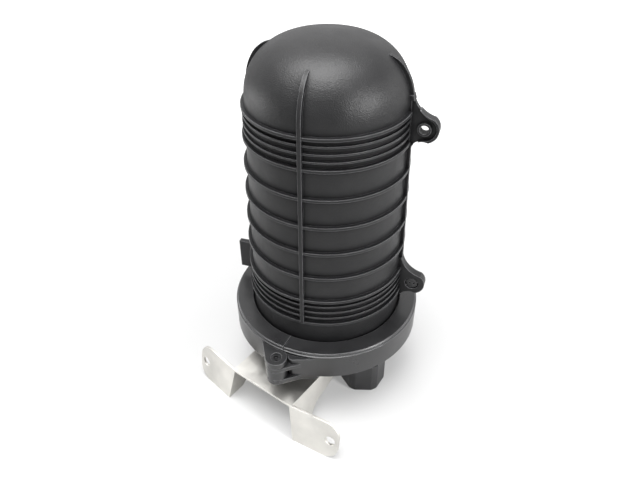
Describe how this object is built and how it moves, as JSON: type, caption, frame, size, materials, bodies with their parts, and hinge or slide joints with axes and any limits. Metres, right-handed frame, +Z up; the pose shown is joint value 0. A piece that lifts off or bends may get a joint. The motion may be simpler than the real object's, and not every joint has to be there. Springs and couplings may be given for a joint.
{
  "type": "dome splice closure",
  "caption": "Upright dome splice closure with a hinged ring clamp, cable ports in the base and a folded mounting bracket.",
  "frame": {"origin": "middle of the footprint, on the surface that the port nuts and the bracket's legs stand on", "axes": "+Z up along the closure's axis, -Y towards the mounting bracket and the wall it bolts to, +X to the right when seen from the bracket"},
  "size_m": [0.1931, 0.2202, 0.3702],
  "materials": {
    "dome": "fine-grained black moulding",
    "base": "fine-grained black moulding",
    "clamp": "smooth black moulding",
    "seals": "dull black rubber",
    "pins": "plain stainless steel",
    "blanks": "black moulding",
    "bracket": "satin stainless sheet",
    "plug": "dark grey moulding",
    "frame": "stainless sheet",
    "holder": "black moulding",
    "trays": "off-white moulding",
    "cover": "clear sheet",
    "strap": "woven black hook tape"
  },
  "bodies": {
    "closure": {"dome": "dome", "base": "base", "base_seal": "seals", "clamp_right": "clamp", "hinge_pin": "pins", "port_nuts": "base", "port_seals": "seals", "port_blanks": "blanks", "oval_port_cap": "base", "bracket": "bracket", "bracket_screws": "pins", "bracket_washers": "pins", "frame_screws": "pins", "clamp_screws": "pins", "lug_plug": "plug", "support_frame": "frame", "tray_holder": "holder", "tray_1": "trays", "tray_2": "trays", "tray_3": "trays", "tray_4": "trays", "tray_pins": "pins", "tray_cover": "cover", "tray_strap": "strap", "loop_basket": "holder", "cable_clamps": "frame"},
    "left_clamp": {"clamp_left": "clamp", "handle_pin": "pins"},
    "handle": {"latch_handle": "clamp"},
    "bail": {"latch_bail": "pins"}
  },
  "joints": [
    {"name": "clamp_hinge", "type": "hinge", "parent": "closure", "child": "left_clamp", "pos_m": [0.01577, -0.09696, 0.08255], "axis": [0, 0, 1], "range_deg": [0, 25]},
    {"name": "handle_swing", "type": "hinge", "parent": "left_clamp", "child": "handle", "pos_m": [-0.03351, 0.10506, 0.08255], "axis": [0, 0, 1], "range_deg": [-62.5, 0]},
    {"name": "bail_swing", "type": "hinge", "parent": "handle", "child": "bail", "pos_m": [-0.04264, 0.10491, 0.08255], "axis": [0, 0, 1], "range_deg": [0, 162.5]}
  ],
  "couplings": [
    {"joint": "handle_swing", "follows": "clamp_hinge", "ratio": -2.5},
    {"joint": "bail_swing", "follows": "clamp_hinge", "ratio": 6.5}
  ]
}
